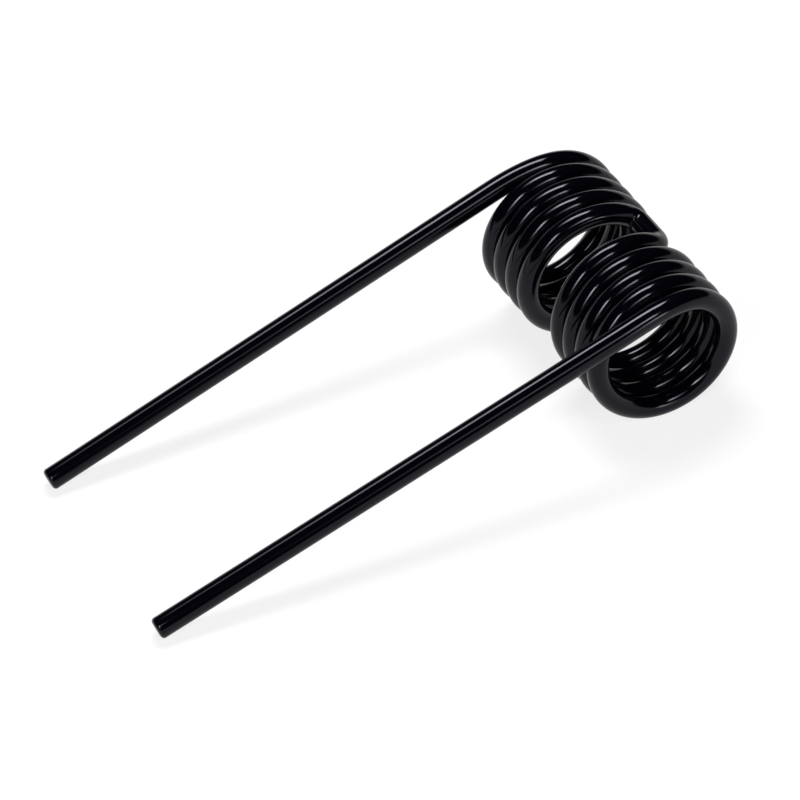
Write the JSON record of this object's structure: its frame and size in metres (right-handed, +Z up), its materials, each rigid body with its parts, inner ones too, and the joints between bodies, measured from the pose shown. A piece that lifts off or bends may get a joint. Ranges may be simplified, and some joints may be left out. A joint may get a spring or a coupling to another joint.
{
  "type": "double torsion spring",
  "caption": "Torsion spring bent from one round wire: close-wound coils side by side on one axis, joined by a short bridge, with long straight legs that leave the outer ends.",
  "frame": {"origin": "on the surface that the spring lies on, below the middle of its overall size", "axes": "+X along the coil axis, -Y towards the leg tips, +Z up"},
  "size_m": [0.0678, 0.158, 0.039],
  "materials": {
    "black_enamel": "gloss black enamel over spring steel wire"
  },
  "bodies": {
    "root": {"spring_wire": "black_enamel"}
  },
  "joints": []
}
